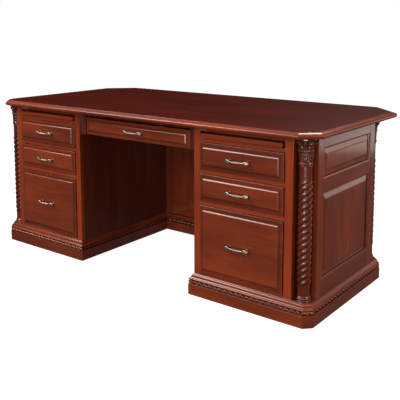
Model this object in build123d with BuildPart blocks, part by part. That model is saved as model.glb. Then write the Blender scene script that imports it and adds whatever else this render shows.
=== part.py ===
import math
import os

from build123d import *

os.makedirs("parts", exist_ok=True)

# ---------------------------------------------------------------------------
# Driving dimensions, in millimetres. X runs along the desk's length, Y from
# the sitter's side (-) to the visitor's side (+), Z up from the floor. The
# origin is on the floor, under the middle of the desk top.
# ---------------------------------------------------------------------------
JOINT = 0.1            # glue line left between separate boards of one group
SLIP = 0.1             # clearance round a tongue in its groove

# desk top: an octagonal slab with a moulded edge
TOP_LENGTH = 1845
TOP_DEPTH = 930
TOP_HEIGHT = 750
TOP_THICK = 24
TOP_BEVEL_IN = 24      # how far the moulding runs in from the edge
TOP_BEVEL_DROP = 7.5   # how far the moulding falls
TOP_FRONT_CLIP = 70    # leg of the cut front corners
TOP_BACK_CLIP = 137    # leg of the cut back corners

# plinth: one moulded base round both pedestals and the modesty panel
BASE_HALF = 904.5
BASE_FRONT = -442.5
BASE_BACK = 256.5
BASE_CLIP = 31
KNEE_HALF = 326.5      # half of the kneehole, between the plinths
KNEE_BACK = 197.5
PLINTH_THICK = 20
PLINTH_TOP = 49
ROPE_TOP = 67
ROPE_DEEP = 9          # depth of the rebate the rope bead lies in
ROPE_EDGE = 7.8        # inset of the bead's top and bottom edges
ROPE_SWELL = 7.65      # how far the bead swells out between them
ROPE_STEPS = 4
CAP_TOP = 92
CAP_IN = 28.5
BOTTOM_THICK = 18
SETBACK = 18.5         # from the plinth's face to the face of the case

# case
CASE_TOP = TOP_HEIGHT - TOP_THICK
BOARD = 22             # frame boards
FACE = BASE_FRONT + SETBACK
BACK = BASE_BACK - SETBACK
SIDE = BASE_HALF - SETBACK
KNEE_SIDE = KNEE_HALF + SETBACK
KNEE_SIDE_THICK = 19
NOTCH_X = 813.6        # outer edge of the front stiles, where the corner pocket starts
NOTCH_FRONT = 65       # depth of the front corner pockets
NOTCH_BACK = 71        # depth of the back corner pockets
LAST_RAIL = 159        # top of the bottom rail
MID_RAIL = (504, 560)
TOP_RAIL = 680         # underside of the top rail
SIDE_STILE_FRONT = 44
SIDE_STILE_BACK = 47
BACK_STILE = 50
TONGUE = 8             # how far a panel enters its groove
TONGUE_THICK = 8
PANEL_THICK = 15
PANEL_BEVEL = 33
PANEL_FOOT = 1         # gap between a panel's bevel and its frame
PANEL_BROW = 1.5       # square step at the edge of a panel's field
PANEL_SEAT = 10        # from the frame's face back to the face of a panel's tongue

# front openings
OPEN_X = (376, 778)    # clear width of a pedestal's openings
REVEAL = 1.5           # gap round each drawer front
FRONT_THICK = 19
FRONT_PROUD = 12       # how far the drawer fronts stand out of the case
FRONT_BEVEL = 20
FIELD_STEP = 3.5
BEVEL_RISE = 4
DRAWERS = {"file": (106, 396), "middle": (417, 530), "top": (551, 662)}
SLOT = (681, 703)      # slot of the writing board
SUPPORT_THICK = 16

# drawer boxes and their runners
RUNNER_SPACE = 13
BOX_DEPTH = 520
BOX_WALL = 12
BOX_BOTTOM = 6
BOX_FLOOR = 8          # from the underside of the sides to the bottom board
BOXES = {"file": (118, 368), "middle": (432, 508), "top": (566, 642)}
RUNNER_Z = {"file": 230, "middle": 467, "top": 600}
RUNNER_LENGTH = 500
RUNNER_BACK = 2        # how far the runners start behind the boards in front of them
CLEAT_HALF = 28

# centre drawer
CENTRE_HALF = 311.5
CENTRE_Z = (622, 703)
CENTRE_FACE = -416
CENTRE_BOX_Z = (632, 690)
CENTRE_BOX_DEPTH = 420
CENTRE_RUNNER_LENGTH = 400
HANGER_X = 313
HANGER_BACK = 180
HANGER_SETBACK = 4              # how far the hangers start behind the drawer's face
HANGER_DROP = 2                 # how far they hang below the drawer
CENTRE_RAIL = (22, 42)          # front rail, behind the drawer's face
CENTRE_RAIL_LOW = 706
CENTRE_BACK_RAIL = (150, 170)
CENTRE_BACK_RAIL_LOW = 660

# writing boards
WRITE_X = (383.5, 770.5)
WRITE_THICK = 17.5
WRITE_Z = 682.6
WRITE_FRONT = -434
WRITE_LENGTH = 480
WRITE_NOSE = 4         # radius of the rounded front edge
GUIDE_WIDE = 18
GUIDE_BACK = 150
GUIDE_TOP = 709
GUIDE_GAP = (0.4, 0.6) # clearance under and over a writing board

# columns
COLUMN_X = 849
COLUMN_IN = 33         # from the face of the case to a column's axis
COLUMN_REACH = 40      # largest radius, at the abacus
COLUMN_GAP = 0.2       # between a column and its pocket

# pulls
PULL_WIDTH = 112
PULL_OUT = 26          # how far a pull stands out of its drawer front
POST_APART = 84
POST_RADIUS = 4
ROSETTE_RADIUS = 7.5
ROSETTE_THICK = 2
BAR_THICK = 9
BAR_TALL = 10

# rails for hanging files, on top of the file drawer's sides
FILE_RAIL_THICK = 3
FILE_RAIL_TALL = 14

SIDES = {"left": -1, "right": 1}


def save(part, name):
    """Label a finished piece and write it to its own file."""
    part.label = name
    export_step(part, f"parts/{name}.step")


def board(x, y, z, mode=Mode.ADD):
    """Add one square-edged board between the given limits to the part being built."""
    with Locations((sum(x) / 2, sum(y) / 2, sum(z) / 2)):
        Box(abs(x[1] - x[0]), abs(y[1] - y[0]), abs(z[1] - z[0]), mode=mode)


def side_x(side, limits):
    """Mirror a pair of X limits onto the left or the right of the desk."""
    return tuple(sorted(side * value for value in limits))


def inset(outline, distance):
    """Move every edge of a counter-clockwise outline inwards, with mitred corners."""
    moved = []
    for i, point in enumerate(outline):
        before, after = Vector(outline[i - 1]), Vector(outline[(i + 1) % len(outline)])
        corner = Vector(point)
        n1 = (corner - before).normalized().rotate(Axis.Z, 90)
        n2 = (after - corner).normalized().rotate(Axis.Z, 90)
        shifted = corner + (n1 + n2) * (distance / (1 + n1.dot(n2)))
        moved.append((shifted.X, shifted.Y))
    return moved


def clipped(x0, x1, y0, y1, front, back):
    """A rectangle with cut corners, as a counter-clockwise outline."""
    return [
        (x0 + front, y0), (x1 - front, y0), (x1, y0 + front), (x1, y1 - back),
        (x1 - back, y1), (x0 + back, y1), (x0, y1 - back), (x0, y0 + front),
    ]


def slab(outline, z):
    """Add a flat slab of the given outline between two heights."""
    with BuildSketch(Plane.XY.offset(z[0])) as face:
        with BuildLine():
            Polyline(*outline, close=True)
        make_face()
    extrude(face.sketch, amount=z[1] - z[0])


def mitred_runs(outline, sections):
    """Add one mitred length of moulding for each edge of the outline.

    Each section is (height, outer inset, inner inset), from the bottom up.
    """
    count = len(outline)
    for i in range(count):
        start, end = Vector(outline[i]), Vector(outline[(i + 1) % count])
        gap = (end - start).normalized() * (JOINT / 2)
        levels = []
        for height, outer, inner in sections:
            a, b = inset(outline, outer), inset(outline, inner)
            near = [Vector(a[i]) + gap, Vector(a[(i + 1) % count]) - gap]
            far = [Vector(b[(i + 1) % count]) - gap, Vector(b[i]) + gap]
            with BuildSketch(Plane.XY.offset(height)) as level:
                with BuildLine():
                    Polyline(*[(p.X, p.Y) for p in near + far], close=True)
                make_face()
            levels.append(level.sketch)
        loft(levels, ruled=True)


# ---------------------------------------------------------------------------
# Desk top
# ---------------------------------------------------------------------------
top_outline = clipped(
    -TOP_LENGTH / 2, TOP_LENGTH / 2, -TOP_DEPTH / 2, TOP_DEPTH / 2, TOP_FRONT_CLIP, TOP_BACK_CLIP
)
SCREW_Y = (-300, -110, 80)
SCREW_BITE = 14        # depth of the screw holes in the top
SCREW_SHORT = 1        # how much shorter than its hole a screw is
SCREW_HEAD = 4
SHANK_RADIUS = 2.0
HEAD_RADIUS = 4.2
PILOT_RADIUS = 2.1     # screw holes in the top
THROUGH_RADIUS = 2.4   # screw holes in the cleats
CLEATS = {374: (714.2, CASE_TOP), 854: (700, CASE_TOP)}   # X of each row: heights of its cleat
CLEAT_Y = (-340, 140)
CLEAT_WIDE = 20

with BuildPart() as desk_top:
    slab(top_outline, (CASE_TOP, TOP_HEIGHT - TOP_BEVEL_DROP))
    with BuildSketch(Plane.XY.offset(TOP_HEIGHT - TOP_BEVEL_DROP)) as bevel_foot:
        with BuildLine():
            Polyline(*top_outline, close=True)
        make_face()
    with BuildSketch(Plane.XY.offset(TOP_HEIGHT)) as bevel_head:
        with BuildLine():
            Polyline(*inset(top_outline, TOP_BEVEL_IN), close=True)
        make_face()
    loft(ruled=True)
    for side in SIDES.values():
        for x in CLEATS:
            with Locations([(side * x, y, CASE_TOP + SCREW_BITE / 2) for y in SCREW_Y]):
                Cylinder(PILOT_RADIUS, SCREW_BITE, mode=Mode.SUBTRACT)
save(desk_top.part, "desk_top")

# cleats under the top, inside the pedestals, and the screws that pull the top down
with BuildPart() as top_cleats:
    for side in SIDES.values():
        for x, z in CLEATS.items():
            board(side_x(side, (x - CLEAT_WIDE / 2, x + CLEAT_WIDE / 2)), CLEAT_Y, z)
            with Locations([(side * x, y, sum(z) / 2) for y in SCREW_Y]):
                Cylinder(THROUGH_RADIUS, z[1] - z[0], mode=Mode.SUBTRACT)
save(top_cleats.part, "top_cleats")

with BuildPart() as top_screws:
    for side in SIDES.values():
        for x, z in CLEATS.items():
            with Locations([(side * x, y, z[0] - SCREW_HEAD / 2) for y in SCREW_Y]):
                Cylinder(HEAD_RADIUS, SCREW_HEAD)
            length = CASE_TOP + SCREW_BITE - SCREW_SHORT - z[0]
            with Locations([(side * x, y, z[0] + length / 2) for y in SCREW_Y]):
                Cylinder(SHANK_RADIUS, length)
save(top_screws.part, "top_screws")

# ---------------------------------------------------------------------------
# Plinth: boards, rope bead and moulded cap, mitred at every corner
# ---------------------------------------------------------------------------
right_half = [
    (KNEE_HALF, BASE_FRONT), (BASE_HALF - BASE_CLIP, BASE_FRONT),
    (BASE_HALF, BASE_FRONT + BASE_CLIP), (BASE_HALF, BASE_BACK - BASE_CLIP),
    (BASE_HALF - BASE_CLIP, BASE_BACK),
]
left_half = [(-x, y) for x, y in reversed(right_half)]
base_outline = right_half + left_half + [(-KNEE_HALF, KNEE_BACK), (KNEE_HALF, KNEE_BACK)]

with BuildPart() as plinth_boards:
    mitred_runs(base_outline, [(0, 0, PLINTH_THICK), (PLINTH_TOP, 0, PLINTH_THICK)])
    mitred_runs(
        base_outline, [(PLINTH_TOP, ROPE_DEEP, PLINTH_THICK), (ROPE_TOP, ROPE_DEEP, PLINTH_THICK)]
    )
save(plinth_boards.part, "plinth_boards")

rope_low, rope_high = PLINTH_TOP + JOINT, ROPE_TOP - JOINT
rope_sections = []
for step in range(ROPE_STEPS + 1):
    angle = math.pi * (step / ROPE_STEPS - 0.5)
    height = (rope_low + rope_high) / 2 + (rope_high - rope_low) / 2 * math.sin(angle)
    rope_sections.append((height, ROPE_EDGE - ROPE_SWELL * math.cos(angle), ROPE_DEEP - JOINT))
with BuildPart() as rope_moulding:
    mitred_runs(base_outline, rope_sections)
save(rope_moulding.part, "rope_moulding")

# heights of the cap's moulding and how far its face lies inside the plinth's
cap_profile = [(ROPE_TOP, 1), (ROPE_TOP + 6, 1), (CAP_TOP - 5, 14), (CAP_TOP, 17)]
with BuildPart() as plinth_cap:
    mitred_runs(base_outline, [(height, face, CAP_IN) for height, face in cap_profile])
save(plinth_cap.part, "plinth_cap")

pedestal_floor = inset(right_half + [(KNEE_HALF, BASE_BACK)], CAP_IN + JOINT)
with BuildPart() as pedestal_bottoms:
    for side in SIDES.values():
        slab([(side * x, y) for x, y in pedestal_floor], (CAP_TOP - BOTTOM_THICK, CAP_TOP))
save(pedestal_bottoms.part, "pedestal_bottoms")

# ---------------------------------------------------------------------------
# Face frames
# ---------------------------------------------------------------------------
case_z = (CAP_TOP, CASE_TOP)
face_y = (FACE, FACE + BOARD)

with BuildPart() as front_stiles:
    for side in SIDES.values():
        board(side_x(side, (KNEE_SIDE, OPEN_X[0])), face_y, case_z)
        board(side_x(side, (OPEN_X[1], NOTCH_X)), face_y, case_z)
save(front_stiles.part, "front_stiles")

rail_levels = [CAP_TOP]
for low, high in DRAWERS.values():
    rail_levels += [low - REVEAL, high + REVEAL]
rail_levels.append(SLOT[0])
with BuildPart() as front_rails:
    for side in SIDES.values():
        for low, high in zip(rail_levels[0::2], rail_levels[1::2]):
            board(side_x(side, OPEN_X), face_y, (low, high))
        board(side_x(side, OPEN_X), (FACE + BOARD, FACE + 2 * BOARD), (SLOT[1], CASE_TOP))
save(front_rails.part, "front_rails")

# ---------------------------------------------------------------------------
# Side frames with raised panels
# ---------------------------------------------------------------------------
side_y = (FACE + NOTCH_FRONT, BACK - NOTCH_BACK)
side_open_y = (side_y[0] + SIDE_STILE_FRONT, side_y[1] - SIDE_STILE_BACK)
panel_heights = [(LAST_RAIL, MID_RAIL[0]), (MID_RAIL[1], TOP_RAIL)]
rail_heights = [(CAP_TOP, LAST_RAIL), MID_RAIL, (TOP_RAIL, CASE_TOP)]


def grooved(limits):
    """Widen an opening's limits to the bottoms of the grooves round it."""
    return (limits[0] - TONGUE - 2 * SLIP, limits[1] + TONGUE + 2 * SLIP)


def groove_between(face, out):
    """The two walls of a groove in a frame whose face is at the given place, facing out."""
    return (face - out * (PANEL_SEAT + TONGUE_THICK + SLIP), face - out * (PANEL_SEAT - SLIP))


def raised_panel(face, width, height):
    """Add a raised panel. The face plane is at the back of its tongue, facing outwards."""
    with BuildSketch(face) as tongue:
        Rectangle(width + 2 * TONGUE, height + 2 * TONGUE)
    extrude(tongue.sketch, amount=TONGUE_THICK)
    with BuildSketch(face.offset(TONGUE_THICK)) as foot:
        Rectangle(width - 2 * PANEL_FOOT, height - 2 * PANEL_FOOT)
    with BuildSketch(face.offset(PANEL_THICK - PANEL_BROW)) as brow:
        Rectangle(width - 2 * PANEL_BEVEL, height - 2 * PANEL_BEVEL)
    loft([foot.sketch, brow.sketch], ruled=True)
    extrude(brow.sketch, amount=PANEL_BROW)


for name, side in SIDES.items():
    outer, inner = side * SIDE, side * (SIDE - BOARD)
    with BuildPart() as side_frame:
        board((inner, outer), (side_y[0], side_open_y[0] - JOINT), case_z)
        board((inner, outer), (side_open_y[1] + JOINT, side_y[1]), case_z)
        for z in rail_heights:
            board((inner, outer), side_open_y, z)
        for z in panel_heights:
            board(groove_between(outer, side), grooved(side_open_y), grooved(z), mode=Mode.SUBTRACT)
    save(side_frame.part, f"{name}_side_frame")

    with BuildPart() as side_panels:
        for z in panel_heights:
            seat = Plane(
                origin=(side * (SIDE - PANEL_SEAT - TONGUE_THICK), sum(side_open_y) / 2, sum(z) / 2),
                x_dir=(0, side, 0), z_dir=(side, 0, 0),
            )
            raised_panel(seat, side_open_y[1] - side_open_y[0], z[1] - z[0])
    save(side_panels.part, f"{name}_side_panels")

    with BuildPart() as kneehole_side:
        board(
            side_x(side, (KNEE_SIDE, KNEE_SIDE + KNEE_SIDE_THICK)),
            (FACE + BOARD, BACK - BOARD), case_z,
        )
    save(kneehole_side.part, f"{name}_kneehole_side")

# ---------------------------------------------------------------------------
# Back: one frame across both pedestals and the modesty panel between them
# ---------------------------------------------------------------------------
back_bays = [
    (-NOTCH_X + BACK_STILE, -KNEE_SIDE - BACK_STILE), (-KNEE_SIDE + BACK_STILE, -BACK_STILE / 2),
    (BACK_STILE / 2, KNEE_SIDE - BACK_STILE), (KNEE_SIDE + BACK_STILE, NOTCH_X - BACK_STILE),
]
back_stiles = [
    (-NOTCH_X, -NOTCH_X + BACK_STILE), (-KNEE_SIDE - BACK_STILE, -KNEE_SIDE + BACK_STILE),
    (-BACK_STILE / 2, BACK_STILE / 2), (KNEE_SIDE - BACK_STILE, KNEE_SIDE + BACK_STILE),
    (NOTCH_X - BACK_STILE, NOTCH_X),
]
with BuildPart() as back_frame:
    for x in back_stiles:
        board((x[0] + JOINT, x[1] - JOINT), (BACK - BOARD, BACK), case_z)
    for x in back_bays:
        for z in rail_heights:
            board(x, (BACK - BOARD, BACK), z)
        for z in panel_heights:
            board(grooved(x), groove_between(BACK, 1), grooved(z), mode=Mode.SUBTRACT)
save(back_frame.part, "back_frame")

with BuildPart() as back_panels:
    for x in back_bays:
        for z in panel_heights:
            seat = Plane(
                origin=(sum(x) / 2, BACK - PANEL_SEAT - TONGUE_THICK, sum(z) / 2),
                x_dir=(-1, 0, 0), z_dir=(0, 1, 0),
            )
            raised_panel(seat, x[1] - x[0], z[1] - z[0])
save(back_panels.part, "back_panels")

# ---------------------------------------------------------------------------
# Corner pockets and their columns
# ---------------------------------------------------------------------------
# each corner: (X side, Y of the case's face, Y direction inwards, pocket depth)
CORNERS = {
    "front_left": (-1, FACE, 1, NOTCH_FRONT), "front_right": (1, FACE, 1, NOTCH_FRONT),
    "back_left": (-1, BACK, -1, NOTCH_BACK), "back_right": (1, BACK, -1, NOTCH_BACK),
}
POCKET_BOARD = 14
POCKET_CUT = 10        # leg of the diagonal board in the bottom of the pocket

with BuildPart() as corner_boards:
    for x_side, face, inwards, depth in CORNERS.values():
        lean = POCKET_BOARD / 2
        diagonal = [
            (NOTCH_X, depth - POCKET_CUT), (NOTCH_X + POCKET_CUT, depth),
            (NOTCH_X + POCKET_CUT - lean, depth + lean), (NOTCH_X - lean, depth - POCKET_CUT + lean),
        ]
        slab([(x_side * x, face + inwards * deep) for x, deep in diagonal], case_z)
        board(
            side_x(x_side, (NOTCH_X - POCKET_BOARD, NOTCH_X)),
            (face + inwards * BOARD, face + inwards * (depth - POCKET_CUT - JOINT)), case_z,
        )
        board(
            side_x(x_side, (NOTCH_X + POCKET_CUT + JOINT, SIDE - BOARD)),
            (face + inwards * depth, face + inwards * (depth + POCKET_BOARD)), case_z,
        )
save(corner_boards.part, "corner_boards")

# half profile of a turned column: (radius, height)
column_profile = [
    (0, CAP_TOP), (30, CAP_TOP), (30, 98), (27.5, 100), (29.5, 103), (29.5, 108), (25, 112),
    (25, 146), (27, 150), (27, 561), (25, 565), (25, 619), (29, 622), (29, 634), (26, 637),
    (25, 650), (29, 690), (36, 712), (COLUMN_REACH, 716), (COLUMN_REACH, CASE_TOP), (0, CASE_TOP),
]
for name, (x_side, face, inwards, depth) in CORNERS.items():
    with BuildPart() as column:
        axis_x, axis_y = x_side * COLUMN_X, face + inwards * COLUMN_IN
        with BuildSketch(Plane.XZ.offset(-axis_y)) as half:
            with BuildLine():
                Polyline(*[(axis_x + radius, height) for radius, height in column_profile], close=True)
            make_face()
        revolve(axis=Axis((axis_x, axis_y, 0), (0, 0, 1)))
        board(
            side_x(x_side, (NOTCH_X + COLUMN_GAP, BASE_HALF)),
            (face - inwards * COLUMN_REACH, face + inwards * (depth - COLUMN_GAP)), case_z,
            mode=Mode.INTERSECT,
        )
    save(column.part, f"{name}_column")

# ---------------------------------------------------------------------------
# Inside the pedestals: supports, cabinet runners and writing-board guides
# ---------------------------------------------------------------------------
support_y = (FACE + BOARD, BACK - BOARD)
inner_wall = KNEE_SIDE + KNEE_SIDE_THICK
with BuildPart() as runner_supports:
    for side in SIDES.values():
        board(side_x(side, (OPEN_X[1], OPEN_X[1] + SUPPORT_THICK)), support_y, case_z)
        for z in RUNNER_Z.values():
            board(side_x(side, (inner_wall, OPEN_X[0])), support_y, (z - CLEAT_HALF, z + CLEAT_HALF))
save(runner_supports.part, "runner_supports")

with BuildPart() as writing_board_guides:
    for side in SIDES.values():
        for x in ((inner_wall, WRITE_X[0] + GUIDE_WIDE), (WRITE_X[1] - GUIDE_WIDE, OPEN_X[1])):
            under = (SLOT[0] - GUIDE_WIDE, WRITE_Z - GUIDE_GAP[0])
            over = (WRITE_Z + WRITE_THICK + GUIDE_GAP[1], GUIDE_TOP)
            board(side_x(side, x), (FACE + BOARD, GUIDE_BACK), under)
            board(side_x(side, x), (FACE + 2 * BOARD + RUNNER_BACK, GUIDE_BACK), over)
save(writing_board_guides.part, "writing_board_guides")

SKIN = 1.4             # sheet steel of the runners
LIP = 4


def runner(wall, into, thick, height, z, y):
    """Add one runner member: a web on the wall at X = wall, with two lips towards +into."""
    bottom, top = z - height / 2, z + height / 2
    board((wall, wall + into * SKIN), y, (bottom, top))
    board((wall, wall + into * thick), y, (bottom, bottom + LIP))
    board((wall, wall + into * thick), y, (top - LIP, top))


# a slim pair on the small drawers, and three thinner members on the file drawers
PAIR_THICK = 6
TRIPLE_THICK = 4
TRIPLE_GAP = 0.5
RUNNER_TALL = 44
RUNNER_MID = 40
RUNNER_SHORT = 36
runner_front = FACE + BOARD + RUNNER_BACK
runner_y = (runner_front, runner_front + RUNNER_LENGTH)
centre_runner_front = CENTRE_FACE + FRONT_THICK + RUNNER_BACK
centre_runner_y = (centre_runner_front, centre_runner_front + CENTRE_RUNNER_LENGTH)
centre_runner_z = sum(CENTRE_BOX_Z) / 2

with BuildPart() as cabinet_runners:
    for side in SIDES.values():
        for kind, z in RUNNER_Z.items():
            thick = TRIPLE_THICK if kind == "file" else PAIR_THICK
            runner(side * OPEN_X[0], side, thick, RUNNER_TALL, z, runner_y)
            runner(side * OPEN_X[1], -side, thick, RUNNER_TALL, z, runner_y)
        runner(side * HANGER_X, -side, PAIR_THICK, RUNNER_TALL, centre_runner_z, centre_runner_y)
save(cabinet_runners.part, "cabinet_runners")

between_hangers = (-HANGER_X + JOINT, HANGER_X - JOINT)
rail_y = (CENTRE_FACE + CENTRE_RAIL[0], CENTRE_FACE + CENTRE_RAIL[1])
with BuildPart() as centre_drawer_frame:
    for side in SIDES.values():
        board(
            side_x(side, (HANGER_X, KNEE_SIDE)), (CENTRE_FACE + HANGER_SETBACK, HANGER_BACK),
            (CENTRE_Z[0] - HANGER_DROP, CASE_TOP),
        )
    board(between_hangers, rail_y, (CENTRE_RAIL_LOW, CASE_TOP))
    board(between_hangers, CENTRE_BACK_RAIL, (CENTRE_BACK_RAIL_LOW, CASE_TOP))
save(centre_drawer_frame.part, "centre_drawer_frame")


# ---------------------------------------------------------------------------
# Drawers
# ---------------------------------------------------------------------------
def drawer_front(x, z, face_at):
    """A front with a raised field: a square-edged slab, a shallow bevel and a stepped field."""
    middle = (sum(x) / 2, sum(z) / 2)
    width, height = x[1] - x[0], z[1] - z[0]
    brow_at = face_at + FIELD_STEP
    rim_at = brow_at + BEVEL_RISE
    with BuildPart() as front:
        board(x, (rim_at, face_at + FRONT_THICK), z)
        with BuildSketch(Plane.XZ.offset(-rim_at)) as rim:
            with Locations(middle):
                Rectangle(width, height)
        with BuildSketch(Plane.XZ.offset(-brow_at)) as brow:
            with Locations(middle):
                Rectangle(width - 2 * FRONT_BEVEL, height - 2 * FRONT_BEVEL)
        loft([rim.sketch, brow.sketch], ruled=True)
        extrude(brow.sketch, amount=FIELD_STEP)
    return front.part


def drawer_box(x, y, z):
    """An open box of five boards: two sides, a front, a back and a bottom."""
    inside_x = (x[0] + BOX_WALL + JOINT, x[1] - BOX_WALL - JOINT)
    floor = z[0] + BOX_FLOOR
    with BuildPart() as box:
        board((x[0], x[0] + BOX_WALL), y, z)
        board((x[1] - BOX_WALL, x[1]), y, z)
        board(inside_x, (y[0], y[0] + BOX_WALL), z)
        board(inside_x, (y[1] - BOX_WALL, y[1]), z)
        board(
            inside_x, (y[0] + BOX_WALL + JOINT, y[1] - BOX_WALL - JOINT), (floor, floor + BOX_BOTTOM)
        )
    return box.part


def pull(x, z, face_at):
    """A bar pull on two posts, fixed to the field of a drawer front."""
    bar_at = face_at - PULL_OUT + BAR_THICK / 2
    with BuildPart() as handle:
        with BuildSketch(Plane.YZ.offset(x)):
            with Locations((bar_at, z)):
                Ellipse(BAR_THICK / 2, BAR_TALL / 2)
        extrude(amount=PULL_WIDTH / 2, both=True)
        with BuildSketch(Plane.XZ.offset(-face_at)):
            with Locations((x - POST_APART / 2, z), (x + POST_APART / 2, z)):
                Circle(POST_RADIUS)
        extrude(amount=PULL_OUT - BAR_THICK / 2)
        with BuildSketch(Plane.XZ.offset(-face_at)):
            with Locations((x - POST_APART / 2, z), (x + POST_APART / 2, z)):
                Circle(ROSETTE_RADIUS)
        extrude(amount=ROSETTE_THICK)
    return handle.part


front_face = FACE - FRONT_PROUD
for name, side in SIDES.items():
    for kind, z in DRAWERS.items():
        full = f"{name}_{kind}_drawer"
        front_x = side_x(side, (OPEN_X[0] + REVEAL, OPEN_X[1] - REVEAL))
        save(drawer_front(front_x, z, front_face), f"{full}_front")

        box_x = side_x(side, (OPEN_X[0] + RUNNER_SPACE, OPEN_X[1] - RUNNER_SPACE))
        box_y = (front_face + FRONT_THICK, front_face + FRONT_THICK + BOX_DEPTH)
        save(drawer_box(box_x, box_y, BOXES[kind]), f"{full}_box")

        save(pull(side * sum(OPEN_X) / 2, sum(z) / 2, front_face), f"{full}_pull")

        thick = TRIPLE_THICK if kind == "file" else PAIR_THICK
        with BuildPart() as drawer_runners:
            runner(box_x[0], -1, thick, RUNNER_SHORT, RUNNER_Z[kind], runner_y)
            runner(box_x[1], 1, thick, RUNNER_SHORT, RUNNER_Z[kind], runner_y)
        save(drawer_runners.part, f"{full}_runners")

    # the sliding middle members of the file drawer's full-extension runners
    step = TRIPLE_THICK + TRIPLE_GAP
    walls = side_x(side, OPEN_X)
    with BuildPart() as middle_members:
        runner(walls[0] + step, 1, TRIPLE_THICK, RUNNER_MID, RUNNER_Z["file"], runner_y)
        runner(walls[1] - step, -1, TRIPLE_THICK, RUNNER_MID, RUNNER_Z["file"], runner_y)
    save(middle_members.part, f"{name}_file_runner_middles")

    # rails for hanging files, standing on the sides of the file drawer's box
    with BuildPart() as file_rails:
        for x in (box_x[0] + BOX_WALL / 2, box_x[1] - BOX_WALL / 2):
            board(
                (x - FILE_RAIL_THICK / 2, x + FILE_RAIL_THICK / 2),
                (box_y[0] + BOX_WALL, box_y[1] - BOX_WALL),
                (BOXES["file"][1], BOXES["file"][1] + FILE_RAIL_TALL),
            )
    save(file_rails.part, f"{name}_hanging_file_rails")

    # pull-out writing board with a rounded nose
    with BuildPart() as writing_board:
        board(
            side_x(side, WRITE_X), (WRITE_FRONT, WRITE_FRONT + WRITE_LENGTH),
            (WRITE_Z, WRITE_Z + WRITE_THICK),
        )
        nose = writing_board.edges().filter_by(Axis.X).group_by(Axis.Y)[0]
        fillet(nose, radius=WRITE_NOSE)
    save(writing_board.part, f"{name}_writing_board")

centre_x = (-CENTRE_HALF, CENTRE_HALF)
save(drawer_front(centre_x, CENTRE_Z, CENTRE_FACE), "centre_drawer_front")
centre_box_x = (-HANGER_X + RUNNER_SPACE, HANGER_X - RUNNER_SPACE)
centre_box_y = (CENTRE_FACE + FRONT_THICK, CENTRE_FACE + FRONT_THICK + CENTRE_BOX_DEPTH)
save(drawer_box(centre_box_x, centre_box_y, CENTRE_BOX_Z), "centre_drawer_box")
save(pull(0, sum(CENTRE_Z) / 2, CENTRE_FACE), "centre_drawer_pull")
with BuildPart() as centre_drawer_runners:
    runner(centre_box_x[0], -1, PAIR_THICK, RUNNER_SHORT, centre_runner_z, centre_runner_y)
    runner(centre_box_x[1], 1, PAIR_THICK, RUNNER_SHORT, centre_runner_z, centre_runner_y)
save(centre_drawer_runners.part, "centre_drawer_runners")
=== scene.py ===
# %% [markdown]
# An executive desk in dark cherry
#
# This lesson dresses a finished desk. The frame holds every board at its true size and place, so here we
# only give each board the moulding, carving, grain and polish that a cabinetmaker would. Lengths are in
# metres: X runs along the desk, Y from the sitter to the visitor, Z up from the floor.

# %% Load the frame
import math

import bpy
import numpy as np
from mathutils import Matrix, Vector


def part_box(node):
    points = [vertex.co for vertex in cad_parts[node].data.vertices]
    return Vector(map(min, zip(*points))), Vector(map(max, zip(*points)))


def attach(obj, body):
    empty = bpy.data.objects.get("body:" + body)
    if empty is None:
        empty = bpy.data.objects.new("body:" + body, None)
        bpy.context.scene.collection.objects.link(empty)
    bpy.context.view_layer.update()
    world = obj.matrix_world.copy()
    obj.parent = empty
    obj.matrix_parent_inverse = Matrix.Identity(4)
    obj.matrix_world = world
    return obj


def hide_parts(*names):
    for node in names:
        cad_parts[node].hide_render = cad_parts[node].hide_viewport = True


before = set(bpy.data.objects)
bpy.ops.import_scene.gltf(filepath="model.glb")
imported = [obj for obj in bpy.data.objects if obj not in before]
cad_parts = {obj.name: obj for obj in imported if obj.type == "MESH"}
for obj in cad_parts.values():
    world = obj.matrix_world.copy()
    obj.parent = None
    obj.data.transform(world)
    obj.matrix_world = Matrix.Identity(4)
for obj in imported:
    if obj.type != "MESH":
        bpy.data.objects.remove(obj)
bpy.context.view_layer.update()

MM = 0.001

# %% [markdown]
# Closed skins
#
# Nearly every part of the desk is a profile carried along a path: a moulding along an edge, a turning
# along its axis, a raised panel from its rim up to its field. So one helper is enough to begin with. It
# takes rings of points, joins each ring to the next with quads, and closes both ends with a flat face.
# A grain coordinate travels with every point. Its first number runs along the board's fibres, so the wood
# pattern follows each board wherever it points, and a small random shift makes every board a new one.
# A second number, the glaze and shade, says how much darker a point is painted: dark polish settled in a hollow,
# and painted shade in grooves, creases and under edges.

# %% Rings to skins
GRAIN_SEED = 7
rng = np.random.default_rng(GRAIN_SEED)


def grain_of(points, along):
    """Fibre coordinates: how far each point lies along the fibres and in two directions across them."""
    along = np.asarray(along, float) / np.linalg.norm(along)
    upright = abs(along[2]) >= 0.9
    across = np.cross((1.0, 0.0, 0.0) if upright else (0.0, 0.0, 1.0), along)
    across /= np.linalg.norm(across)
    basis = np.stack([along, across, np.cross(along, across)])
    centre = points.reshape(-1, 3).mean(0)
    shift = np.array([rng.uniform(-3, 3), rng.uniform(-0.06, 0.06), rng.uniform(0.08, 0.3)])
    return (points.reshape(-1, 3) - centre) @ basis.T + shift


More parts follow.
